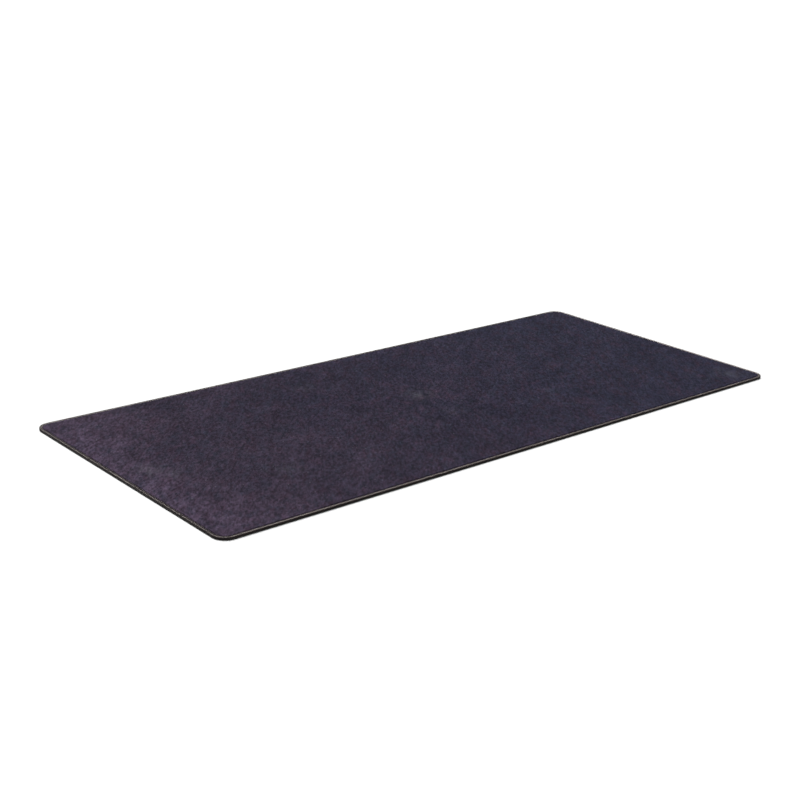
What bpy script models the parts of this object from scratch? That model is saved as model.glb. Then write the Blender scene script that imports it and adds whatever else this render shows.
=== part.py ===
"""A soft desk mat, built as its real layers and the threads that bind its edge.

A knitted cloth is bonded by a thin hot-melt film to a foam-rubber base. A three-thread overlock
seam runs right round the edge: it presses the layers thinner there, and its two looper threads
close over the cut edge and meet at the rim. The needle thread holds them down along a line of
stitches a few millimetres in.

Frame: metres, +Z up. The origin is the centre of the underside. +X runs along the long side and
+Y runs to the back long side.
"""

import math

import bmesh
import bpy

# Driving dimensions
WIDTH = 0.900
DEPTH = 0.400
THICKNESS = 0.004
CORNER_RADIUS = 0.017
CLOTH_THICKNESS = 0.0006
FILM_THICKNESS = 0.0001
BOND_GAP = 0.0001
BEAD_HEIGHT = 0.0035
BEAD_LIFT = 0.0001
THREAD_COVER = 0.00045
NEEDLE_INSET = 0.0038
NEEDLE_DIAMETER = 0.0004
CLOTH_EDGE_ROUNDING = 0.9 * CLOTH_THICKNESS
RAMP_ANGLE = math.radians(45)

# Fineness of the round stretches
CORNER_SEGMENTS = 14
RIM_SEGMENTS = 4
NEEDLE_BEVEL_RESOLUTION = 2
SHARP_FROM_ANGLE = math.radians(30)

# A face counts as level when its normal's Z is more than this
LEVEL_NORMAL = 0.99

# The overlocked bead: its rounded outer corners and where its threads stop on the layers
BEAD_TOP = BEAD_LIFT + BEAD_HEIGHT
BEAD_MIDDLE = BEAD_LIFT + BEAD_HEIGHT / 2
BEAD_ROUNDING = 0.0012
LOOPER_END = NEEDLE_INSET - NEEDLE_DIAMETER / 2 - BOND_GAP

# The pressed layers inside the bead
CORE_INSET = THREAD_COVER + BOND_GAP
CORE_ROUNDING = BEAD_ROUNDING - CORE_INSET
CORE_LOW = BEAD_LIFT + CORE_INSET
CORE_TOP = BEAD_TOP - CORE_INSET

# The ramp, from the pressed edge up to the mat's full thickness
RAMP_START = NEEDLE_INSET + NEEDLE_DIAMETER / 2 + BOND_GAP
RAMP_SHIFT = math.tan(RAMP_ANGLE / 2)

OBJECT_NAME = "desk_mat"


def clear_scene():
    """Remove every object that the scene starts with."""
    for scene_object in list(bpy.data.objects):
        bpy.data.objects.remove(scene_object, do_unlink=True)


def new_collection(name):
    """A collection of that name, linked to the scene."""
    collection = bpy.data.collections.new(name)
    bpy.context.scene.collection.children.link(collection)
    return collection


def new_material(name, colour, roughness, sheen=0.0):
    """A Principled material with a base colour, a roughness and, on cloth, some sheen."""
    material = bpy.data.materials.new(name)
    material.use_nodes = True
    shader = material.node_tree.nodes["Principled BSDF"]
    shader.inputs["Base Color"].default_value = (*colour, 1.0)
    shader.inputs["Roughness"].default_value = roughness
    shader.inputs["Metallic"].default_value = 0.0
    shader.inputs["Sheen Weight"].default_value = sheen
    material.diffuse_color = (*colour, 1.0)
    return material


def flat_face(bm, side):
    """The plate's level face on one side: 1 is the top and -1 is the underside."""
    level = [face for face in bm.faces if face.normal.z * side > LEVEL_NORMAL]
    return max(level, key=lambda face: face.calc_area())


def rounded_plate(inset, height):
    """A plate of the mat's outline moved in by inset, with round corners, from z = 0 to height."""
    bm = bmesh.new()
    bmesh.ops.create_cube(bm, size=1.0)
    size = (WIDTH - 2 * inset, DEPTH - 2 * inset, height)
    bmesh.ops.scale(bm, vec=size, verts=bm.verts)
    bmesh.ops.translate(bm, vec=(0, 0, height / 2), verts=bm.verts)
    uprights = [edge for edge in bm.edges if abs(edge.verts[0].co.z - edge.verts[1].co.z) > height / 2]
    bmesh.ops.bevel(bm, geom=uprights, offset=CORNER_RADIUS - inset, segments=CORNER_SEGMENTS,
                    profile=0.5, affect="EDGES")
    bm.normal_update()
    return bm


def round_rim(bm, side, radius):
    """Round the outer edge of the top (side 1) or the underside (side -1)."""
    rim = list(flat_face(bm, side).edges)
    bmesh.ops.bevel(bm, geom=rim, offset=radius, segments=RIM_SEGMENTS, profile=0.5, affect="EDGES")
    bm.normal_update()


def step_face(bm, side, start, outward):
    """Carry a level face out of the plate by a ramp that begins start in from the plate's edge.

    outward is how far the face moves out of the plate; a negative value sinks it.
    """
    bmesh.ops.inset_region(bm, faces=[flat_face(bm, side)], thickness=start, use_even_offset=True)
    bm.normal_update()
    run = abs(outward) / math.tan(RAMP_ANGLE)
    bmesh.ops.inset_region(bm, faces=[flat_face(bm, side)], thickness=run, depth=outward,
                           use_even_offset=True)
    bm.normal_update()


def add_object(name, data, material, collection, parent, height=0.0):
    """Link one named piece under the mat's empty, at its height."""
    data.materials.append(material)
    piece = bpy.data.objects.new(name, data)
    piece.location = (0, 0, height)
    piece.parent = parent
    collection.objects.link(piece)
    return piece


def add_plate(name, bm, material, collection, parent, height):
    """Turn a finished plate into a named object whose round edges are shaded smooth."""
    mesh = bpy.data.meshes.new(name)
    bm.to_mesh(mesh)
    bm.free()
    piece = add_object(name, mesh, material, collection, parent, height)
    mesh.shade_smooth()
    mesh.set_sharp_from_angle(angle=SHARP_FROM_ANGLE)
    return piece


def layer_start(cover):
    """Where a surface that lies cover below the cloth's face begins its ramp, in from the rim."""
    return RAMP_START + cover * RAMP_SHIFT


def make_cloth_top(collection, parent):
    """The knitted cloth: pressed down under the looper threads, and level inside the ramp."""
    material = new_material("cloth", (0.046, 0.039, 0.057), 0.9, sheen=0.4)
    rise = THICKNESS - CORE_TOP
    bm = rounded_plate(CORE_INSET, CLOTH_THICKNESS)
    round_rim(bm, 1, CLOTH_EDGE_ROUNDING)
    step_face(bm, 1, layer_start(0) - CORE_INSET - CLOTH_EDGE_ROUNDING, rise)
    step_face(bm, -1, layer_start(CLOTH_THICKNESS) - CORE_INSET, -rise)
    return add_plate("cloth_top", bm, material, collection, parent, CORE_TOP - CLOTH_THICKNESS)


def make_adhesive_film(collection, parent):
    """The hot-melt film between the cloth and the rubber, following the same ramp."""
    material = new_material("hot_melt_film", (0.16, 0.14, 0.11), 0.35)
    rise = THICKNESS - CORE_TOP
    cover = CLOTH_THICKNESS + BOND_GAP
    bm = rounded_plate(CORE_INSET, FILM_THICKNESS)
    step_face(bm, 1, layer_start(cover) - CORE_INSET, rise)
    step_face(bm, -1, layer_start(cover + FILM_THICKNESS) - CORE_INSET, -rise)
    return add_plate("adhesive_film", bm, material, collection, parent,
                     CORE_TOP - cover - FILM_THICKNESS)


def make_rubber_base(collection, parent):
    """The foam-rubber base: its underside stands proud of the seam, so the rubber carries the mat."""
    material = new_material("foam_rubber", (0.016, 0.015, 0.017), 0.85)
    rise = THICKNESS - CORE_TOP
    cover = CLOTH_THICKNESS + FILM_THICKNESS + 2 * BOND_GAP
    bm = rounded_plate(CORE_INSET, CORE_TOP - cover - CORE_LOW)
    round_rim(bm, -1, CORE_ROUNDING)
    step_face(bm, 1, layer_start(cover) - CORE_INSET, rise)
    step_face(bm, -1, RAMP_START - CORE_INSET - CORE_ROUNDING, CORE_LOW)
    return add_plate("rubber_base", bm, material, collection, parent, CORE_LOW)


def outline_points(inset):
    """The mat's outline moved in by inset, anticlockwise, with each corner as an arc."""
    radius = CORNER_RADIUS - inset
    centre_x = WIDTH / 2 - CORNER_RADIUS
    centre_y = DEPTH / 2 - CORNER_RADIUS
    points = []
    for corner in range(4):
        sign_x = 1 if corner in (0, 3) else -1
        sign_y = 1 if corner in (0, 1) else -1
        for step in range(CORNER_SEGMENTS + 1):
            angle = math.radians(90) * (corner + step / CORNER_SEGMENTS)
            x = sign_x * centre_x + radius * math.cos(angle)
            y = sign_y * centre_y + radius * math.sin(angle)
            points.append((x, y))
    return points


def closed_curve(name, points, dimensions="3D"):
    """A closed POLY curve through points that lie in the XY plane."""
    curve = bpy.data.curves.new(name, "CURVE")
    curve.dimensions = dimensions
    spline = curve.splines.new("POLY")
    spline.points.add(len(points) - 1)
    for spline_point, (x, y) in zip(spline.points, points):
        spline_point.co = (x, y, 0, 1)
    spline.use_cyclic_u = True
    return curve


def looper_section(side):
    """The section of one looper's cover: x is 0 at the rim and negative inside it, y is the height.

    side is 1 for the upper looper and -1 for the lower one. Each runs from the middle of the rim,
    round the bead's corner, to its end beside the needle line.
    """
    half_height = BEAD_HEIGHT / 2
    parting = BOND_GAP / 2
    points = []
    for depth in (0.0, THREAD_COVER):
        radius = BEAD_ROUNDING - depth
        face = [(-depth, side * parting)]
        for step in range(RIM_SEGMENTS + 1):
            angle = math.radians(90) * step / RIM_SEGMENTS
            x = radius * math.cos(angle) - BEAD_ROUNDING
            y = radius * math.sin(angle) + half_height - BEAD_ROUNDING
            face.append((x, side * y))
        face.append((-LOOPER_END, side * (half_height - depth)))
        points += face if depth == 0.0 else face[::-1]
    return points[::-side]


def make_looper_thread(name, side, colour, collection, guides, parent):
    """One looper thread's cover: its section carried round the mat's rim."""
    section_name = name + "_section"
    section = bpy.data.objects.new(section_name, closed_curve(section_name, looper_section(side), "2D"))
    section.hide_render = True
    section.display_type = "WIRE"
    guides.objects.link(section)
    rim = closed_curve(name, outline_points(0.0))
    rim.twist_mode = "Z_UP"
    rim.bevel_mode = "OBJECT"
    rim.bevel_object = section
    material = new_material(name, colour, 0.5)
    return add_object(name, rim, material, collection, parent, BEAD_MIDDLE)


def make_needle_thread(collection, parent):
    """The needle thread, laid along the stitch line on the pressed cloth."""
    line = closed_curve("needle_thread", outline_points(NEEDLE_INSET))
    line.bevel_depth = NEEDLE_DIAMETER / 2
    line.bevel_resolution = NEEDLE_BEVEL_RESOLUTION
    material = new_material("needle_thread", (0.026, 0.022, 0.025), 0.5)
    height = CORE_TOP + BOND_GAP + NEEDLE_DIAMETER / 2
    return add_object("needle_thread", line, material, collection, parent, height)


def main():
    """Build the mat: three bonded layers and the three threads of the edge seam."""
    clear_scene()
    parts = new_collection(OBJECT_NAME)
    guides = new_collection(OBJECT_NAME + "_guides")
    mat = bpy.data.objects.new(OBJECT_NAME, None)
    mat.empty_display_size = CORNER_RADIUS
    parts.objects.link(mat)
    make_rubber_base(parts, mat)
    make_adhesive_film(parts, mat)
    make_cloth_top(parts, mat)
    make_looper_thread("upper_looper_thread", 1, (0.030, 0.026, 0.028), parts, guides, mat)
    make_looper_thread("lower_looper_thread", -1, (0.022, 0.018, 0.019), parts, guides, mat)
    make_needle_thread(parts, mat)


main()
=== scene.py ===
"""The looks of a soft desk mat: every stitch of its overlocked edge, its cloth and its rubber.

Lengths are metres in the row frame. Places round the mat are given by a distance along the needle
line, an inset from the rim and a height.
"""

import math

import bpy
import numpy as np
from mathutils import Matrix, Vector
from mathutils.geometry import delaunay_2d_cdt


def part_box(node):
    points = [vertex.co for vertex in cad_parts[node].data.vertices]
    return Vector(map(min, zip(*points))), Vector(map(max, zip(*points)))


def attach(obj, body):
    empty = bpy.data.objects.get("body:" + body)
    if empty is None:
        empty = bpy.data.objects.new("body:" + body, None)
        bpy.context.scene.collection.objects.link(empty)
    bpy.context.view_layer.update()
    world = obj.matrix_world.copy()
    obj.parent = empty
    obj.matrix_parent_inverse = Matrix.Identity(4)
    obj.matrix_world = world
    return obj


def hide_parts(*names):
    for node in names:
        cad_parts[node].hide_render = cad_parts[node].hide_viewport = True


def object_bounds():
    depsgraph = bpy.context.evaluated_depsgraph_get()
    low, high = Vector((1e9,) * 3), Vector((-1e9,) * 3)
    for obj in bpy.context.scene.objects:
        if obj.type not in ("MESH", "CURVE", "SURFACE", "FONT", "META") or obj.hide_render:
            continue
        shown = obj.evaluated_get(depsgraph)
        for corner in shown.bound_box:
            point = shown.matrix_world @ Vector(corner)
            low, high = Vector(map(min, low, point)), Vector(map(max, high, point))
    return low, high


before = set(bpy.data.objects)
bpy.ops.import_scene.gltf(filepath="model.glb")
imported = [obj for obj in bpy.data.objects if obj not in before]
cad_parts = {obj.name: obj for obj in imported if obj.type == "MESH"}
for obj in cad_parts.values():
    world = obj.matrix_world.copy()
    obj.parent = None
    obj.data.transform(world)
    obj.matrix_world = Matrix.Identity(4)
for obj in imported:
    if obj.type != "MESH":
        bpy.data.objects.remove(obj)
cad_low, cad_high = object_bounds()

MM = 0.001

# ---------------------------------------------------------------- sizes read from the frame

WIDTH = cad_high.x - cad_low.x
DEPTH = cad_high.y - cad_low.y
THICKNESS = cad_high.z - cad_low.z
CORNER_RADIUS = 17 * MM

cloth_low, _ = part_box("cloth_top")
rubber_low, rubber_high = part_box("rubber_base")
needle_low, needle_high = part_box("needle_thread")
_, looper_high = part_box("upper_looper_thread")
under_low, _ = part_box("lower_looper_thread")

CORE_INSET = cloth_low.x - cad_low.x
CLOTH_THICKNESS = 0.6 * MM
NEEDLE_CLEARANCE = 0.4 * MM
NEEDLE_RADIUS = (needle_high.z - needle_low.z) / 2
NEEDLE_INSET = needle_low.x - cad_low.x + NEEDLE_RADIUS
PRESSED_TOP = needle_low.z - NEEDLE_CLEARANCE
BEAD_LOW = under_low.z
BEAD_MIDDLE = (looper_high.z + BEAD_LOW) / 2

# ---------------------------------------------------------------- the seam

PITCH_WANTED = 2.5 * MM
SEAM_START_Y = 8 * MM
PURL_ARRIVAL = 0.29
YARN_HALF_WIDTH = 0.58 * MM
YARN_HALF_HEIGHT = 0.14 * MM
LOOPER_LEAN = 0.25
OVERLAP_STITCHES = 11
SEED = 11

LONG_RUN = WIDTH - 2 * CORNER_RADIUS
SHORT_RUN = DEPTH - 2 * CORNER_RADIUS
NEEDLE_CORNER = math.pi / 2 * (CORNER_RADIUS - NEEDLE_INSET)
FIRST_RUN = SHORT_RUN / 2 + SEAM_START_Y
LAST_RUN = SHORT_RUN - FIRST_RUN
RUNS = (FIRST_RUN, NEEDLE_CORNER, LONG_RUN, NEEDLE_CORNER, SHORT_RUN, NEEDLE_CORNER,
        LONG_RUN, NEEDLE_CORNER, LAST_RUN)
PERIMETER = sum(RUNS)
STITCHES = round(PERIMETER / PITCH_WANTED)
PITCH = PERIMETER / STITCHES

rng = np.random.default_rng(SEED)


def rim_walk(distance):
    """The centre of turning and the outward angle, at distances along the needle line.

    The mat's outline is a smaller rectangle grown by the corner radius, so a walk round it slides
    the centre along that rectangle's sides and turns the angle at its corners.
    """
    x, y = LONG_RUN / 2, SHORT_RUN / 2
    knots = np.concatenate(([0.0], np.cumsum(RUNS)))
    centre_x = (-x, -x, -x, x, x, x, x, -x, -x, -x)
    centre_y = (SEAM_START_Y, -y, -y, -y, -y, y, y, y, y, SEAM_START_Y)
    quarter_turns = (2, 2, 3, 3, 4, 4, 5, 5, 6, 6)
    wrapped = np.mod(distance, PERIMETER)
    angle = np.interp(wrapped, knots, np.array(quarter_turns) * math.pi / 2)
    return np.interp(wrapped, knots, centre_x), np.interp(wrapped, knots, centre_y), angle


def rim_points(distance, inset, height):
    """Points at those distances along the needle line, insets from the rim and heights."""
    centre_x, centre_y, angle = rim_walk(np.asarray(distance, float))
    reach = CORNER_RADIUS - inset
    x = centre_x + reach * np.cos(angle)
    y = centre_y + reach * np.sin(angle)
    return np.stack((x, y, np.broadcast_to(height, x.shape)), axis=-1)


def outward(distance, across, up):
    """Directions made of so much outward from the mat and so much up, at those distances."""
    angle = rim_walk(np.asarray(distance, float))[2]
    direction = np.stack((np.cos(angle) * across, np.sin(angle) * across,
                          np.broadcast_to(up, angle.shape)), axis=-1)
    return direction / np.linalg.norm(direction, axis=-1, keepdims=True)


def smooth_step(value):
    """0 to 1 along a smooth S, for values from 0 to 1."""
    value = np.clip(value, 0, 1)
    return value * value * (3 - 2 * value)


def per_stitch(low, high):
    """A smooth, seeded variation round the seam: one random value at each stitch."""
    values = rng.uniform(low, high, STITCHES)
    values = np.append(values, values[0])
    return lambda stitch: np.interp(np.mod(stitch, STITCHES), np.arange(STITCHES + 1), values)


# ---------------------------------------------------------------- meshes

def new_piece(name, points, faces, material):
    """A mesh piece that rides on the mat's only body."""
    mesh = bpy.data.meshes.new(name)
    mesh.from_pydata(points.tolist(), [], faces)
    mesh.materials.append(material)
    mesh.shade_smooth()
    piece = bpy.data.objects.new(name, mesh)
    bpy.context.scene.collection.objects.link(piece)
    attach(piece, "root")
    return piece


def yarn(name, centre, off_surface, half_width, half_height, sides, material):
    """A flattened yarn along centre, its thin way along off_surface, capped at both ends.

    Its UV map "yarn" runs in metres along the yarn and from 0 to 1 round it.
    """
    tangent = np.gradient(centre, axis=0)
    tangent /= np.linalg.norm(tangent, axis=1, keepdims=True)
    sideways = np.cross(tangent, off_surface)
    sideways /= np.linalg.norm(sideways, axis=1, keepdims=True)
    thin = np.cross(sideways, tangent)
    count = len(centre)
    turn = 2 * math.pi * np.arange(sides) / sides
    wide = np.broadcast_to(half_width, count)[:, None, None] * np.cos(turn)[None, :, None]
    high = np.broadcast_to(half_height, count)[:, None, None] * np.sin(turn)[None, :, None]
    rings = centre[:, None, :] + wide * sideways[:, None, :] + high * thin[:, None, :]
    ring, side = np.meshgrid(np.arange(count - 1), np.arange(sides), indexing="ij")
    after = (side + 1) % sides
    quads = np.stack((ring * sides + side, (ring + 1) * sides + side,
                      (ring + 1) * sides + after, ring * sides + after), axis=-1)
    faces = quads.reshape(-1, 4).tolist()
    faces.append(list(range(sides)))
    faces.append(list(range((count - 1) * sides, count * sides))[::-1])
    piece = new_piece(name, rings.reshape(-1, 3), faces, material)
    length = np.concatenate(([0.0], np.cumsum(np.linalg.norm(np.diff(centre, axis=0), axis=1))))
    along = np.stack((length[ring], length[ring + 1], length[ring + 1], length[ring]), axis=-1)
    around = np.stack((side, side, side + 1, side + 1), axis=-1) / sides
    corners = np.stack((along, around), axis=-1).reshape(-1, 2)
    corners = np.concatenate((corners, np.zeros((2 * sides, 2))))
    layer = piece.data.uv_layers.new(name="yarn")
    layer.data.foreach_set("uv", corners.astype(np.float32).ravel())
    return piece


# ---------------------------------------------------------------- the threads

# The bead's section for the middle of a yarn: round at the rim, then a short steep fall from its
# crown to the pressed cloth, and level to the needle line. The two loopers interlock in a ridge,
# the purl, on its upper shoulder.
CROWN_INSET = 1.45 * MM
CROWN_RISE = THICKNESS - BEAD_MIDDLE - YARN_HALF_HEIGHT - 0.10 * MM
UNDER_RISE = BEAD_MIDDLE - BEAD_LOW - YARN_HALF_HEIGHT - 0.05 * MM
NEEDLE_RISE = PRESSED_TOP + YARN_HALF_HEIGHT + 0.1 * MM - BEAD_MIDDLE
FALL_INSET = CROWN_INSET + 0.8 * MM
RIM_POWER = 2.0
LOOPER_END_INSET = NEEDLE_INSET + 0.05 * MM
PURL_INSET = 0.70 * MM
PURL_PROUD = 0.10 * MM
PURL_FROM = 0.6
HOOK_OFFSET = 0.11 * MM
RIM_REACH = CROWN_INSET - YARN_HALF_HEIGHT - 0.05 * MM
INNER_STEPS = 30
RIM_STEPS = 60


def bead_section():
    """The bead's section from the needle line above, round the rim, to the needle line below.

    Returns the length along it, then its inset, rise and outward normal, and the purl's length.
    """
    turn = np.linspace(math.pi / 2, 0, RIM_STEPS)
    inner = np.linspace(LOOPER_END_INSET, CROWN_INSET, INNER_STEPS, endpoint=False)
    fall = smooth_step((inner - CROWN_INSET) / (FALL_INSET - CROWN_INSET))
    inner_rise = CROWN_RISE + (NEEDLE_RISE - CROWN_RISE) * fall
    outer = CROWN_INSET - RIM_REACH * np.cos(turn) ** (2 / RIM_POWER)
    outer_rise = CROWN_RISE * np.sin(turn) ** (2 / RIM_POWER)
    inset = np.concatenate((inner, outer))
    rise = np.concatenate((inner_rise, outer_rise))
    upper = len(inset)
    inset = np.concatenate((inset, inset[-2::-1]))
    rise = np.concatenate((rise, -rise[-2::-1] * UNDER_RISE / CROWN_RISE))
    steps = np.hypot(np.diff(inset), np.diff(rise))
    length = np.concatenate(([0.0], np.cumsum(steps)))
    across = -np.gradient(rise, length)
    up = -np.gradient(inset, length)
    purl = np.interp(-PURL_INSET, -inset[:upper], length[:upper])
    return length, inset, rise, across, up, purl


SECTION = bead_section()


def arrival(stitch):
    """How far a looper has come out from the needle line, from 0 to 1 when it reaches the purl."""
    phase = np.mod(stitch, 1)
    return np.minimum(phase, 1 - phase) / PURL_ARRIVAL


def purl_share(stitch):
    """1 where a looper runs along the purl and 0 where it crosses the bead."""
    return smooth_step((arrival(stitch) - PURL_FROM) / (1 - PURL_FROM))


def looper_points(stitch, side, lift=0.0):
    """Places and off-surface directions of one looper at those stitches, whole or in part.

    The looper starts at a needle hole, goes out to the purl, runs along it, passing over the other
    looper at one end and under it at the other, and comes back to the next hole. side is 1 for the
    looper above; the one below, -1, comes round the rim from underneath.
    """
    length, *section, purl = SECTION
    reach = smooth_step(arrival(stitch)) * reach_of(stitch)
    start = 0 if side > 0 else length[-1]
    at = start + (purl - start) * reach
    inset, rise, across, up = (np.interp(at, length, values) for values in section)
    hook = PURL_PROUD + HOOK_OFFSET * np.sin(math.tau * stitch)
    proud = lift + purl_share(stitch) * hook + proud_of(stitch) * MM
    inset = inset - proud * across
    rise = rise + proud * up
    distance = (stitch + LOOPER_LEAN * reach * side + drift_of(stitch)) * PITCH
    centre = rim_points(distance, inset, BEAD_MIDDLE + rise)
    return centre, outward(distance, across, up)


# How much a curve's length, beside its bends, decides where its points go.
LENGTH_PULL = 0.35


def bend_spaced(curve, count):
    """Shares of one stitch from 0 to 1, closer together where its curve bends more."""
    fine = np.linspace(0, 1, 401)
    points = curve(fine)
    tangent = np.gradient(points, axis=0)
    speed = np.linalg.norm(tangent, axis=1)
    tangent /= speed[:, None]
    bend = np.linalg.norm(np.gradient(tangent, axis=0), axis=1)
    weight = bend / bend.sum() + LENGTH_PULL * speed / speed.sum()
    total = np.concatenate(([0.0], np.cumsum((weight[1:] + weight[:-1]) / 2)))
    return np.interp(np.linspace(0, total[-1], count + 1), total, fine)


def stitch_run(shares, first, last):
    """The shares repeated for each stitch from first to last."""
    whole = np.repeat(np.arange(first, last), len(shares) - 1)
    return np.append(whole + np.tile(shares[:-1], last - first), last)


# How the stitches vary round the seam.
reach_of = per_stitch(0.97, 1.0)
proud_of = per_stitch(-0.03, 0.05)
drift_of = per_stitch(-0.05, 0.05)
fullness_of = per_stitch(0.88, 1.08)
tension_of = per_stitch(0.75, 1.15)


def side_ranges():
    """The stitches of each side of the mat, split at the middles of its corners."""
    knots = np.concatenate(([0.0], np.cumsum(RUNS)))
    middles = [(knots[i] + knots[i + 1]) / 2 for i in (1, 3, 5, 7)]
    cuts = [round(middle / PITCH) for middle in middles]
    return {
        "left": (cuts[3], STITCHES + cuts[0]),
        "front": (cuts[0], cuts[1]),
        "right": (cuts[1], cuts[2]),
        "back": (cuts[2], cuts[3]),
    }


LOOPER_SIDES = 8
LOOPER_STEPS = 22
OVERLAP_STEPS = 20
OVERLAP_LIFT = 0.28 * MM
OVERLAP_FULLNESS = 0.9
LIFT_STITCHES = 1.5
PURL_NARROWING = 0.12
PURL_THINNING = 0.15
SAMPLE_STITCH = 400


def loop_shares(side, steps):
    """Where to put the points of one loop, taken from a stitch on a straight side."""
    return bend_spaced(lambda share: looper_points(share + SAMPLE_STITCH, side)[0], steps)


def make_looper(name, node, side, material):
    """One looper thread, as a run of loops along each side of the mat."""
    shares = loop_shares(side, LOOPER_STEPS)
    pieces = []
    for place, (first, last) in side_ranges().items():
        stitch = stitch_run(shares, first, last)
        centre, off_surface = looper_points(stitch, side)
        drawn = purl_share(stitch)
        half_width = YARN_HALF_WIDTH * fullness_of(stitch) * (1 - PURL_NARROWING * drawn)
        half_height = YARN_HALF_HEIGHT * (1 - PURL_THINNING * drawn)
        piece = yarn(f"{name}_{place}", centre, off_surface, half_width, half_height, LOOPER_SIDES,
                     material)
        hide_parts(node)
        pieces.append(piece)
    return pieces


def make_seam_overlap(material):
    """The end of the seam, sewn over its start for a few stitches before the threads are cut."""
    shares = loop_shares(1, OVERLAP_STEPS)
    stitch = stitch_run(shares, STITCHES - 2, STITCHES + OVERLAP_STITCHES)
    ends = np.minimum(stitch - stitch[0], stitch[-1] - stitch)
    lift = OVERLAP_LIFT * np.clip(ends / LIFT_STITCHES, 0, 1)
    centre, off_surface = looper_points(stitch + 0.5, 1, lift)
    piece = yarn("upper_looper_overlap", centre, off_surface, YARN_HALF_WIDTH * OVERLAP_FULLNESS,
                 YARN_HALF_HEIGHT, LOOPER_SIDES, material)
    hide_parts("upper_looper_thread")
    return piece


# One stitch of the needle thread: how far along in pitches, inset past the line and height, in mm.
# It bridges two holes on the face, goes down through the layers and loops under the lower looper.
NEEDLE_STITCH = (
    (0.05, 0.00, 2.45),
    (0.12, 0.00, 2.95),
    (0.24, 0.02, 3.28),
    (0.40, 0.03, 3.42),
    (0.60, 0.03, 3.42),
    (0.76, 0.02, 3.28),
    (0.88, 0.00, 2.95),
    (0.95, 0.00, 2.45),
    (0.965, 0.00, 1.80),
    (0.965, 0.00, 0.62),
    (0.975, -0.18, 0.33),
    (1.00, -0.38, 0.26),
    (1.025, -0.18, 0.33),
    (1.035, 0.00, 0.62),
    (1.035, 0.00, 1.80),
)
NEEDLE_HALF_WIDTH = 0.21 * MM
NEEDLE_HALF_HEIGHT = 0.17 * MM
NEEDLE_SIDES = 6

# Tension moves only the part of a stitch that is above this height, in mm.
FACE_HEIGHT = 3.0


def make_needle(material):
    """The needle thread, a stitch at a time round the mat."""
    along, past, height = np.array(NEEDLE_STITCH).T
    pieces = []
    for place, (first, last) in side_ranges().items():
        whole = np.arange(first, last)
        stitch = (whole[:, None] + along[None, :]).ravel()
        tension = tension_of(stitch)
        rise = np.tile(height, len(whole))
        rise = np.where(rise > FACE_HEIGHT, FACE_HEIGHT + (rise - FACE_HEIGHT) * tension, rise)
        distance = (stitch + drift_of(stitch)) * PITCH
        inset = NEEDLE_INSET + np.tile(past, len(whole)) * MM
        centre = rim_points(distance, inset, rise * MM)
        piece = yarn(f"needle_thread_{place}", centre, outward(distance, 1.0, 0.0),
                     NEEDLE_HALF_WIDTH, NEEDLE_HALF_HEIGHT, NEEDLE_SIDES, material)
        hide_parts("needle_thread")
        pieces.append(piece)
    return pieces


# ---------------------------------------------------------------- the layers

RAMP_FOOT = NEEDLE_INSET + 0.2 * MM
RAMP_CREST = NEEDLE_INSET + 1.25 * MM
PUCKER = 0.50 * MM
QUILTING = 0.40
PUCKER_END = NEEDLE_INSET + 2.4 * MM
SEAM_EDGE = 0.5 * MM
DIMPLE_DEPTH = 0.55 * MM
DIMPLE_REACH = 0.6 * MM
DIMPLE_INSET = NEEDLE_INSET + 0.1 * MM
CLOTH_SPACING = 5.0 * MM
HIDDEN_SPACING = 30 * MM
WAVE_COUNT = 9
WAVE_HEIGHT = 0.012 * MM
WAVES = [(rng.uniform(0, math.tau), rng.uniform(0, math.tau), rng.uniform(50, 210) * MM)
         for _ in range(WAVE_COUNT)]


def inset_at(x, y):
    """How far a point on the mat lies in from the rim."""
    past_x = np.abs(x) - LONG_RUN / 2
    past_y = np.abs(y) - SHORT_RUN / 2
    outside = np.hypot(np.maximum(past_x, 0), np.maximum(past_y, 0))
    inside = np.minimum(np.maximum(past_x, past_y), 0)
    return CORNER_RADIUS - outside - inside


def cloth_waves(x, y):
    """The slight unevenness of a mat that was once rolled up."""
    total = 0
    for heading, phase, length in WAVES:
        along = x * math.cos(heading) + y * math.sin(heading)
        total = total + np.sin(along * math.tau / length + phase)
    return WAVE_HEIGHT * (total + WAVE_COUNT / 2)


def cloth_face(stitch, inset, height):
    """The cloth's upper face near the seam: each stitch draws the ramp in and dimples it.

    Between the needle's holes the cloth springs back up beside the buried thread.
    """
    phase = math.tau * (stitch - drift_of(stitch))
    drawn = PUCKER * tension_of(stitch) * np.cos(phase)
    fade = 1 - smooth_step((inset - NEEDLE_INSET) / (PUCKER_END - NEEDLE_INSET))
    start = (inset - drawn * fade - RAMP_FOOT) / (RAMP_CREST - RAMP_FOOT)
    inside_line = smooth_step((inset - NEEDLE_INSET) / SEAM_EDGE + 1)
    pressed = 1 - QUILTING * inside_line * (0.5 - 0.5 * np.cos(phase))
    ramp = THICKNESS - (THICKNESS - PRESSED_TOP) * pressed * (1 - smooth_step(start))
    near_line = np.exp(-((inset - DIMPLE_INSET) / DIMPLE_REACH) ** 2)
    dimple = DIMPLE_DEPTH * near_line * (0.5 + 0.5 * np.cos(phase)) ** 2
    return np.where(inset < NEEDLE_INSET - SEAM_EDGE, height, ramp - dimple)


def lattice(spacing, inset):
    """Points of a staggered lattice over the mat inside that inset, with a row and a column each."""
    row_gap = spacing * math.sqrt(3) / 2
    rows = np.arange(-int(DEPTH / 2 / row_gap), int(DEPTH / 2 / row_gap) + 1)
    columns = np.arange(-int(WIDTH / 2 / spacing) - 1, int(WIDTH / 2 / spacing) + 2)
    row, column = (grid.ravel() for grid in np.meshgrid(rows, columns))
    x = (column + (row % 2) / 2) * spacing
    y = row * row_gap
    keep = inset_at(x, y) > inset
    return x[keep], y[keep], row[keep], column[keep]


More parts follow.
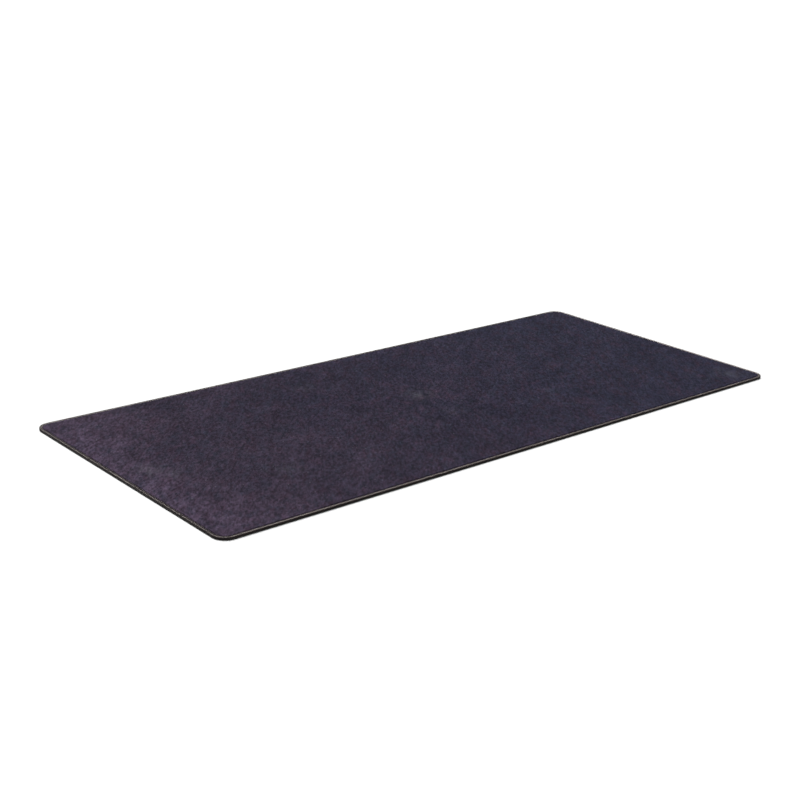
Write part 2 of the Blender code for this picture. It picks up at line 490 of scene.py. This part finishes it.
def ring_points(flat_inset, inset, height, per_stitch_count):
    """One ring of a layer: its places laid out flat, and its stitches, insets and heights."""
    count = int(STITCHES * per_stitch_count)
    stitch = np.arange(count) / per_stitch_count
    flat = rim_points(stitch * PITCH, flat_inset, 0.0)[:, :2]
    return flat, stitch, np.full(count, inset), np.full(count, height)


def triangles_of(flat):
    """Delaunay triangles of points laid out flat, each facing up."""
    result = delaunay_2d_cdt([Vector(point) for point in flat], [], [], 0, 1e-9)
    origin = [group[0] for group in result[3]]
    faces = np.array([[origin[i] for i in face] for face in result[2]])
    a, b, c = (flat[faces[:, i]] for i in range(3))
    turn = (b[:, 0] - a[:, 0]) * (c[:, 1] - a[:, 1]) - (b[:, 1] - a[:, 1]) * (c[:, 0] - a[:, 0])
    faces[turn < 0] = faces[turn < 0][:, ::-1]
    return faces[np.abs(turn) > 1e-13]


def layer_face(rings, spacing, ring_height, field_height):
    """Points, faces and the rim's count of one face of a layer: its rings, then a lattice inside."""
    parts = [ring_points(*ring) for ring in rings]
    flat = [part[0] for part in parts]
    points = [rim_points(stitch * PITCH, inset, ring_height(stitch, inset, height))
              for _, stitch, inset, height in parts]
    x, y, row, column = lattice(spacing, rings[-1][0] + 0.7 * spacing)
    flat.append(np.stack((x, y), axis=-1))
    points.append(np.stack((x, y, field_height(x, y, row, column)), axis=-1))
    return np.concatenate(points), triangles_of(np.concatenate(flat)), len(parts[0][0])


def make_layer(name, upper, lower, material):
    """A closed layer from its upper and lower faces, which share their rim ring."""
    top_points, top_faces, rim = upper
    low_points, low_faces, _ = lower
    low_faces = low_faces[:, ::-1]
    low_faces = np.where(low_faces < rim, low_faces, low_faces + len(top_points) - rim)
    points = np.concatenate((top_points, low_points[rim:]))
    faces = np.concatenate((top_faces, low_faces)).tolist()
    return new_piece(name, points, faces, material)


def plain_ring(stitch, inset, height):
    """A ring at its own height."""
    return height


def make_cloth(material):
    """The knitted cloth, drawn down into the seam, with its cut edge inside the looper threads."""
    low = PRESSED_TOP - CLOTH_THICKNESS
    edge = CORE_INSET
    field_low = THICKNESS - CLOTH_THICKNESS
    hidden = [(0.0, edge, low), (0.3, edge + 0.02 * MM, low + 0.3 * MM),
              (0.55, edge + 0.2 * MM, PRESSED_TOP - 0.14 * MM), (0.9, edge + 0.6 * MM, PRESSED_TOP),
              (1.7, edge + 1.4 * MM, PRESSED_TOP), (2.7, edge + 2.3 * MM, PRESSED_TOP)]
    rings = [(flat * MM, inset, height, 2) for flat, inset, height in hidden]
    for past in (-0.45, -0.2, 0.0, 0.2, 0.45, 0.7, 0.95, 1.25, 1.6):
        inset = NEEDLE_INSET + past * MM
        rings.append((inset, inset, 0.0, 6))
    for inset, count in ((6.2, 3), (7.2, 2), (9.0, 1)):
        rings.append((inset * MM, inset * MM, 0.0, count))

    def top(stitch, inset, height):
        face = cloth_face(stitch, inset, height)
        x, y, _ = np.moveaxis(rim_points(stitch * PITCH, inset, 0.0), -1, 0)
        return face + cloth_waves(x, y) * smooth_step((inset - RAMP_CREST) / (6 * MM))

    upper = layer_face(rings, CLOTH_SPACING, top,
                       lambda x, y, row, column: THICKNESS + cloth_waves(x, y))
    below = [(0.0, edge, low, 2), (RAMP_FOOT, RAMP_FOOT + 0.3 * MM, low, 1),
             (RAMP_CREST, RAMP_CREST + 0.3 * MM, field_low, 1)]
    lower = layer_face(below, HIDDEN_SPACING, plain_ring,
                       lambda x, y, row, column: np.full(len(x), field_low))
    piece = make_layer("knitted_cloth", upper, lower, material)
    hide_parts("cloth_top")
    return piece


GRIP_DEPTH = 0.14 * MM
GRIP_SPACING = 2.15 * MM


def grip_height(x, y, row, column):
    """The embossed underside: every third point of the lattice is a grip dot that meets the desk."""
    place = (column - row // 2 - row) % 3
    return np.where(place == 0, 0.0, GRIP_DEPTH)


def make_rubber(material):
    """The foam-rubber base, thinner inside the seam, with its anti-slip underside."""
    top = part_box("adhesive_film")[0].z - 0.1 * MM
    low = rubber_low.z
    pressed_low = BEAD_LOW + 0.55 * MM
    rim_height = pressed_low + 0.65 * MM
    field_top = rubber_high.z
    upper_rings = [(0.0, CORE_INSET, rim_height, 0.5),
                   (0.9 * MM, CORE_INSET + 0.001 * MM, top, 0.5),
                   (RAMP_FOOT + 0.4 * MM, RAMP_FOOT + 0.5 * MM, top, 0.5),
                   (RAMP_CREST + 0.4 * MM, RAMP_CREST + 0.5 * MM, field_top, 0.5)]
    upper = layer_face(upper_rings, HIDDEN_SPACING, plain_ring,
                       lambda x, y, row, column: np.full(len(x), field_top))
    foot = RAMP_FOOT + 0.2 * MM
    lower_rings = [(0.0, CORE_INSET, rim_height, 0.5),
                   (0.4 * MM, CORE_INSET + 0.19 * MM, pressed_low + 0.19 * MM, 0.5),
                   (0.8 * MM, CORE_INSET + 0.65 * MM, pressed_low, 0.5),
                   (foot, foot, pressed_low, 0.5),
                   (foot + 0.8 * MM, foot + 0.6 * MM, low + 0.10 * MM, 0.5),
                   (foot + 1.3 * MM, foot + 1.2 * MM, low + 0.04 * MM, 0.5)]
    lower = layer_face(lower_rings, GRIP_SPACING, plain_ring, grip_height)
    piece = make_layer("foam_rubber_base", upper, lower, material)
    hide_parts("rubber_base")
    return piece


# ---------------------------------------------------------------- materials

def add(tree, kind, inputs, **settings):
    """A shader node with its settings; each input is a value or another node's output."""
    made = tree.nodes.new("ShaderNode" + kind)
    for name, value in settings.items():
        setattr(made, name, value)
    for name, value in inputs.items():
        if isinstance(value, bpy.types.NodeSocket):
            tree.links.new(value, made.inputs[name])
        else:
            made.inputs[name].default_value = value
    return made


def maths(tree, operation, first, second=0.0):
    """The output of a Math node."""
    return add(tree, "Math", {0: first, 1: second}, operation=operation).outputs[0]


def spread(tree, value, low, high, to_low, to_high):
    """A value carried from one range to another and kept inside it."""
    inputs = {"Value": value, "From Min": low, "From Max": high, "To Min": to_low, "To Max": to_high}
    return add(tree, "MapRange", inputs).outputs["Result"]


def mixed(tree, factor, first, second, blend="MIX"):
    """The colour output of a Mix node."""
    inputs = {0: factor, 6: first, 7: second}
    return add(tree, "Mix", inputs, data_type="RGBA", blend_type=blend).outputs[2]


def noise(tree, place, scale, detail, roughness, distortion=0.0):
    """The value of a noise texture, scale being its cells to the metre."""
    inputs = {"Vector": place, "Scale": scale, "Detail": detail, "Roughness": roughness,
              "Distortion": distortion}
    return add(tree, "TexNoise", inputs).outputs["Fac"]


def stretched(tree, place, heading, lengths):
    """Coordinates in which a texture is that many times longer along each axis, turned to heading."""
    inputs = {"Vector": place, "Rotation": (0, 0, heading), "Scale": lengths}
    return add(tree, "Mapping", inputs, vector_type="TEXTURE").outputs["Vector"]


def dimmed(tree, colour, share):
    """A colour multiplied by a value."""
    grey = add(tree, "CombineColor", {"Red": share, "Green": share, "Blue": share}).outputs["Color"]
    return mixed(tree, 1.0, colour, grey, "MULTIPLY")


def bumped(tree, height, distance, strength, under=None):
    """The normal of a bump, laid over another one if it is given."""
    inputs = {"Height": height, "Distance": distance, "Strength": strength}
    if under is not None:
        inputs["Normal"] = under
    return add(tree, "Bump", inputs).outputs["Normal"]


def new_material(name):
    """A material's node tree, its Principled shader and the object's coordinates."""
    material = bpy.data.materials.new(name)
    material.use_nodes = True
    tree = material.node_tree
    place = add(tree, "TexCoord", {}).outputs["Object"]
    return material, tree, tree.nodes["Principled BSDF"], place


NAP_HEADING = math.radians(50)
NAP_LENGTH = 2.2
LINT_COLOUR = (0.09, 0.09, 0.105, 1)
MAGENTA_DYE = (0.0169, 0.0090, 0.0158, 1)
GREEN_DYE = (0.0092, 0.0107, 0.0178, 1)
PATCH_TURN = 1.1
WALE_PITCH = 0.85 * MM
COURSE_PITCH = 0.65 * MM
POLYESTER_IOR = 1.64
YARN_DARK = (0.005, 0.004, 0.004, 1)
YARN_LIGHT = (0.012, 0.009, 0.009, 1)

# Rubbed places on the cloth: x, y and size in mm, and how pale.
RUBBED_PLACES = (
    (-412, -3, 26, 0.34),
    (-395, -30, 20, 0.16),
    (-2, 17, 28, 0.26),
    (-2, -55, 22, 0.16),
    (-105, 125, 24, 0.15),
    (-290, -85, 32, 0.14),
    (412, -168, 34, 0.20),
)

# Lint: cells to the metre, share of cells that hold a speck, its radius in cells from full to
# gone, how much longer than wide it is, and how pale.
LINT = (
    (150.0, 0.35, 0.05, 0.13, 1.3, 0.45),
    (60.0, 0.30, 0.02, 0.05, 3.5, 0.50),
)


def rubbed_place(tree, place, wisp, centre, size):
    """1 in the middle of a rubbed place and 0 outside it, broken up by the nap's wisps."""
    from_centre = add(tree, "VectorMath", {0: place, 1: centre}, operation="DISTANCE").outputs["Value"]
    return maths(tree, "MULTIPLY", spread(tree, from_centre, 0.0, size, 1.0, 0.0),
                 spread(tree, wisp, 0.40, 0.65, 0.0, 1.0))


def scattered(tree, place, cells, share, low, high):
    """1 at scattered specks and 0 elsewhere: that share of the cells holds one."""
    cell = add(tree, "TexVoronoi", {"Vector": place, "Scale": cells})
    chosen = add(tree, "SeparateColor", {"Color": cell.outputs["Color"]}).outputs["Red"]
    return maths(tree, "MULTIPLY", maths(tree, "LESS_THAN", chosen, share),
                 spread(tree, cell.outputs["Distance"], low, high, 1.0, 0.0))


def cloth_material():
    """Dark knitted polyester: fine rows of stitches, a brushed nap, and a plum to slate cast."""
    material, tree, shader, place = new_material("knitted_polyester")
    axis = add(tree, "SeparateXYZ", {"Vector": place})

    # The dye's cast drifts from warm plum at -X to slate blue at +X, with blurred borders.
    wander = noise(tree, place, 7.0, 4.0, 0.6)
    across = maths(tree, "ADD", axis.outputs["X"], spread(tree, wander, 0.3, 0.7, -0.16, 0.16))
    plum = spread(tree, across, -0.40, -0.02, 1.0, 0.0)
    slate = spread(tree, across, -0.02, 0.34, 0.0, 1.0)
    colour = mixed(tree, plum, (0.0113, 0.0093, 0.0178, 1), (0.0147, 0.0104, 0.0172, 1))
    colour = mixed(tree, slate, colour, (0.0098, 0.0097, 0.0190, 1))

    # Painted light: the -X end is painted paler, most of all at its rim, standing in for light that falls
    # on that end. The whole rim is paler as well.
    in_x = maths(tree, "SUBTRACT", WIDTH / 2, maths(tree, "ABSOLUTE", axis.outputs["X"]))
    in_y = maths(tree, "SUBTRACT", DEPTH / 2, maths(tree, "ABSOLUTE", axis.outputs["Y"]))
    in_from_rim = maths(tree, "MINIMUM", in_x, in_y)
    painted_light_drift = maths(tree, "POWER", spread(tree, across, -0.56, -0.10, 1.0, 0.0), 1.6)
    paler_rim = spread(tree, in_from_rim, 0.004, 0.045, 0.10, 0.0)
    painted_end_light = spread(tree, axis.outputs["X"], -WIDTH / 2, -0.385, 0.65, 0.0)
    paler_rim_and_painted_end_light = maths(tree, "ADD", paler_rim, painted_end_light)
    tone = maths(tree, "ADD", maths(tree, "ADD", maths(tree, "MULTIPLY", painted_light_drift, 0.90), paler_rim_and_painted_end_light), 1.0)
    colour = dimmed(tree, colour, tone)

    # Patches of dye that took more magenta or more green.
    brushed = stretched(tree, place, NAP_HEADING, (NAP_LENGTH, 1.0, 1.0))
    patch = noise(tree, brushed, 100.0, 6.0, 0.80)
    colour = mixed(tree, spread(tree, patch, 0.46, 0.66, 0.0, 0.80), colour, MAGENTA_DYE)
    patch = noise(tree, stretched(tree, brushed, PATCH_TURN, (1.0, 1.0, 1.0)), 120.0, 6.0, 0.80)
    colour = mixed(tree, spread(tree, patch, 0.46, 0.66, 0.0, 0.80), colour, GREEN_DYE)

    # The nap: clouds, brushed wisps and the grain of the yarn.
    cloud = noise(tree, brushed, 24.0, 7.0, 0.70)
    wisp = noise(tree, brushed, 90.0, 5.0, 0.75, 0.4)
    grain = noise(tree, brushed, 380.0, 2.0, 0.6)
    nap = maths(tree, "MULTIPLY", spread(tree, cloud, 0.3, 0.72, 0.81, 1.23),
                spread(tree, wisp, 0.45, 0.75, 0.96, 1.22))
    colour = dimmed(tree, colour, maths(tree, "MULTIPLY", nap, spread(tree, grain, 0.35, 0.80, 0.60, 2.08)))

    # The knit's wales and courses.
    wale = maths(tree, "SINE", maths(tree, "MULTIPLY", axis.outputs["X"], math.tau / WALE_PITCH))
    course = maths(tree, "SINE", maths(tree, "MULTIPLY", axis.outputs["Y"], math.tau / COURSE_PITCH))
    knit = maths(tree, "MULTIPLY", wale, course)
    colour = dimmed(tree, colour, spread(tree, knit, -1.0, 1.0, 0.88, 1.12))

    # Rubbed places, where the nap stands up paler, and specks and short fibres of lint.
    for x, y, size, strength in RUBBED_PLACES:
        rubbed = rubbed_place(tree, place, wisp, (x * MM, y * MM, THICKNESS), size * MM)
        colour = mixed(tree, maths(tree, "MULTIPLY", rubbed, strength), colour, LINT_COLOUR)
    for cells, share, low, high, longer, strength in LINT:
        speck = scattered(tree, stretched(tree, place, 0.9, (longer, 1.0, 1.0)), cells, share, low, high)
        colour = mixed(tree, maths(tree, "MULTIPLY", speck, strength), colour, LINT_COLOUR)

    tree.links.new(colour, shader.inputs["Base Color"])
    tree.links.new(spread(tree, nap, 0.8, 1.3, 0.95, 0.80), shader.inputs["Roughness"])
    shader.inputs["Specular IOR Level"].default_value = 0.05
    shader.inputs["Sheen Weight"].default_value = 0.015
    shader.inputs["Sheen Roughness"].default_value = 0.45
    shader.inputs["Sheen Tint"].default_value = (0.86, 0.84, 1.0, 1)
    normal = bumped(tree, nap, 0.6 * MM, 0.5)
    normal = bumped(tree, grain, 0.25 * MM, 0.6, normal)
    normal = bumped(tree, knit, 0.05 * MM, 0.8, normal)
    tree.links.new(normal, shader.inputs["Normal"])
    return material


def thread_material(name, dark, light, twist, gloss):
    """Black polyester yarn: fine filaments that twist round it, a little duller in places."""
    material, tree, shader, place = new_material(name)
    along = add(tree, "UVMap", {}, uv_map="yarn").outputs["UV"]
    axis = add(tree, "SeparateXYZ", {"Vector": along})
    turns = maths(tree, "ADD", maths(tree, "MULTIPLY", axis.outputs["X"], 1 / twist),
                  maths(tree, "MULTIPLY", axis.outputs["Y"], 2.0))
    ply = maths(tree, "SINE", maths(tree, "MULTIPLY", turns, math.tau))
    filament = noise(tree, stretched(tree, along, 0.0, (1.3 * MM, 0.09, 1.0)), 1.0, 4.0, 0.7)
    fuzz = noise(tree, place, 210.0, 4.0, 0.65)
    shade = maths(tree, "MULTIPLY", spread(tree, ply, -1.0, 1.0, 0.70, 1.15),
                  spread(tree, filament, 0.3, 0.7, 0.75, 1.25))
    colour = mixed(tree, spread(tree, fuzz, 0.35, 0.70, 0.0, 1.0), dark, light)
    tree.links.new(dimmed(tree, colour, shade), shader.inputs["Base Color"])
    tree.links.new(spread(tree, fuzz, 0.3, 0.7, 0.30, 0.44), shader.inputs["Roughness"])
    shader.inputs["IOR"].default_value = POLYESTER_IOR
    shader.inputs["Specular IOR Level"].default_value = gloss
    shader.inputs["Specular Tint"].default_value = (1.0, 0.87, 0.82, 1)
    shader.inputs["Anisotropic"].default_value = 0.8
    shader.inputs["Anisotropic Rotation"].default_value = 0.25
    fibres = add(tree, "Tangent", {}, direction_type="UV_MAP", uv_map="yarn").outputs["Tangent"]
    tree.links.new(fibres, shader.inputs["Tangent"])
    normal = bumped(tree, ply, 0.03 * MM, 0.5)
    normal = bumped(tree, filament, 0.07 * MM, 0.8, normal)
    tree.links.new(normal, shader.inputs["Normal"])
    return material


def rubber_material():
    """Black foam rubber: an open grain, a bloom of pale dust and slight colour variation."""
    material, tree, shader, place = new_material("black_foam_rubber")
    cells = noise(tree, place, 2600.0, 3.0, 0.6)
    bloom = noise(tree, place, 22.0, 6.0, 0.6)
    pores = add(tree, "TexVoronoi", {"Vector": place, "Scale": 1500.0}).outputs["Distance"]
    colour = mixed(tree, spread(tree, bloom, 0.35, 0.75, 0.0, 0.6), (0.013, 0.0125, 0.014, 1),
                   (0.030, 0.029, 0.030, 1))
    colour = dimmed(tree, colour, spread(tree, cells, 0.3, 0.7, 0.8, 1.2))
    tree.links.new(colour, shader.inputs["Base Color"])
    tree.links.new(spread(tree, bloom, 0.3, 0.7, 0.72, 0.90), shader.inputs["Roughness"])
    shader.inputs["Specular IOR Level"].default_value = 0.35
    normal = bumped(tree, pores, 0.08 * MM, 0.6)
    normal = bumped(tree, cells, 0.04 * MM, 0.6, normal)
    tree.links.new(normal, shader.inputs["Normal"])
    return material


def film_material():
    """The smoke-brown hot-melt film between cloth and rubber, with its flow marks."""
    material, tree, shader, place = new_material("hot_melt_film")
    flow = noise(tree, place, 90.0, 4.0, 0.6, 1.0)
    colour = mixed(tree, flow, (0.030, 0.026, 0.021, 1), (0.048, 0.042, 0.034, 1))
    tree.links.new(colour, shader.inputs["Base Color"])
    tree.links.new(spread(tree, flow, 0.3, 0.7, 0.25, 0.45), shader.inputs["Roughness"])
    tree.links.new(bumped(tree, flow, 0.03 * MM, 0.5), shader.inputs["Normal"])
    return material


def floor_material():
    """A plain, matte, pale studio floor."""
    material, tree, shader, place = new_material("studio_floor")
    tone = noise(tree, place, 3.0, 2.0, 0.5)
    colour = mixed(tree, tone, (0.51, 0.51, 0.51, 1), (0.53, 0.53, 0.53, 1))
    tree.links.new(colour, shader.inputs["Base Color"])
    shader.inputs["Roughness"].default_value = 0.9
    shader.inputs["Specular IOR Level"].default_value = 0.2
    return material


# ---------------------------------------------------------------- the mat

rubber = make_rubber(rubber_material())
cloth = make_cloth(cloth_material())
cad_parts["adhesive_film"].data.materials.clear()
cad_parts["adhesive_film"].data.materials.append(film_material())
bright_yarn = thread_material("bright_looper_yarn", YARN_DARK, YARN_LIGHT, twist=1.6 * MM, gloss=0.90)
dull_yarn = thread_material("dull_looper_yarn", YARN_DARK, YARN_LIGHT, twist=1.6 * MM, gloss=0.12)
needle_yarn = thread_material("needle_yarn", YARN_DARK, (0.009, 0.007, 0.008, 1), twist=0.9 * MM,
                              gloss=0.5)
threads = make_looper("upper_looper", "upper_looper_thread", 1, bright_yarn)
threads += make_looper("lower_looper", "lower_looper_thread", -1, dull_yarn)
threads += make_needle(needle_yarn)
threads.append(make_seam_overlap(bright_yarn))


# ---------------------------------------------------------------- the studio

FOCAL_LENGTH_MM = 63.02
CAMERA_AZIMUTH = math.radians(-41.06)
CAMERA_ELEVATION = math.radians(19.37)
CAMERA_ROLL = math.radians(1.90)
CAMERA_DISTANCE = 1.808
CAMERA_TARGET = Vector((-0.0263, 0.0238, 0.0))
FLOOR_SIZE = 60


def make_camera():
    """The camera, placed round its target by azimuth, elevation and roll."""
    camera = bpy.data.objects.new("camera", bpy.data.cameras.new("camera"))
    bpy.context.scene.collection.objects.link(camera)
    camera.data.lens = FOCAL_LENGTH_MM
    level = math.cos(CAMERA_ELEVATION)
    back = Vector((math.sin(CAMERA_AZIMUTH) * level, -math.cos(CAMERA_AZIMUTH) * level,
                   math.sin(CAMERA_ELEVATION)))
    turned = (-back).to_track_quat("-Z", "Y").to_matrix().to_4x4()
    camera.matrix_world = (Matrix.Translation(CAMERA_TARGET + back * CAMERA_DISTANCE) @ turned
                           @ Matrix.Rotation(CAMERA_ROLL, 4, "Z"))
    camera.data.clip_start = 0.05
    camera.data.clip_end = 50.0
    bpy.context.scene.camera = camera


def make_far_light(name, heading, elevation, strength, width):
    """A broad, distant light, heading degrees round from +X, that falls evenly on all of the floor."""
    light = bpy.data.lights.new(name, "SUN")
    light.energy = strength
    light.angle = math.radians(width)
    level = math.cos(math.radians(elevation))
    place = Vector((level * math.cos(math.radians(heading)), level * math.sin(math.radians(heading)),
                    math.sin(math.radians(elevation))))
    lamp = bpy.data.objects.new(name, light)
    lamp.location = place
    lamp.rotation_euler = (-place).to_track_quat("-Z", "Y").to_euler()
    bpy.context.scene.collection.objects.link(lamp)


def make_floor():
    """The floor that the mat lies on."""
    bpy.ops.mesh.primitive_plane_add(size=FLOOR_SIZE, location=(0, 0, 0))
    floor = bpy.context.active_object
    floor.name = "floor"
    floor.data.materials.append(floor_material())


def make_world(strength, wall_strength, wall_top):
    """A plain, dim white surround, with a pale studio wall low round the horizon.

    wall_top is the sine of the angle above the horizon at which the wall has faded out.
    """
    world = bpy.data.worlds.new("surround")
    world.use_nodes = True
    tree = world.node_tree
    direction = tree.nodes.new("ShaderNodeTexCoord")
    height = tree.nodes.new("ShaderNodeSeparateXYZ")
    fade = tree.nodes.new("ShaderNodeMapRange")
    fade.interpolation_type = "SMOOTHSTEP"
    fade.inputs["From Min"].default_value = wall_top / 2
    fade.inputs["From Max"].default_value = wall_top
    fade.inputs["To Min"].default_value = wall_strength
    fade.inputs["To Max"].default_value = strength
    tree.links.new(direction.outputs["Generated"], height.inputs["Vector"])
    tree.links.new(height.outputs["Z"], fade.inputs["Value"])
    background = tree.nodes["Background"]
    background.inputs["Color"].default_value = (1, 1, 1, 1)
    tree.links.new(fade.outputs["Result"], background.inputs["Strength"])
    bpy.context.scene.world = world


make_camera()
make_floor()
make_world(strength=0.14, wall_strength=1.0, wall_top=0.12)
make_far_light("overhead", heading=100, elevation=85, strength=4.5, width=30)
make_far_light("key_light", heading=80, elevation=55, strength=2.0, width=20)
bpy.context.scene.view_settings.view_transform = "Standard"
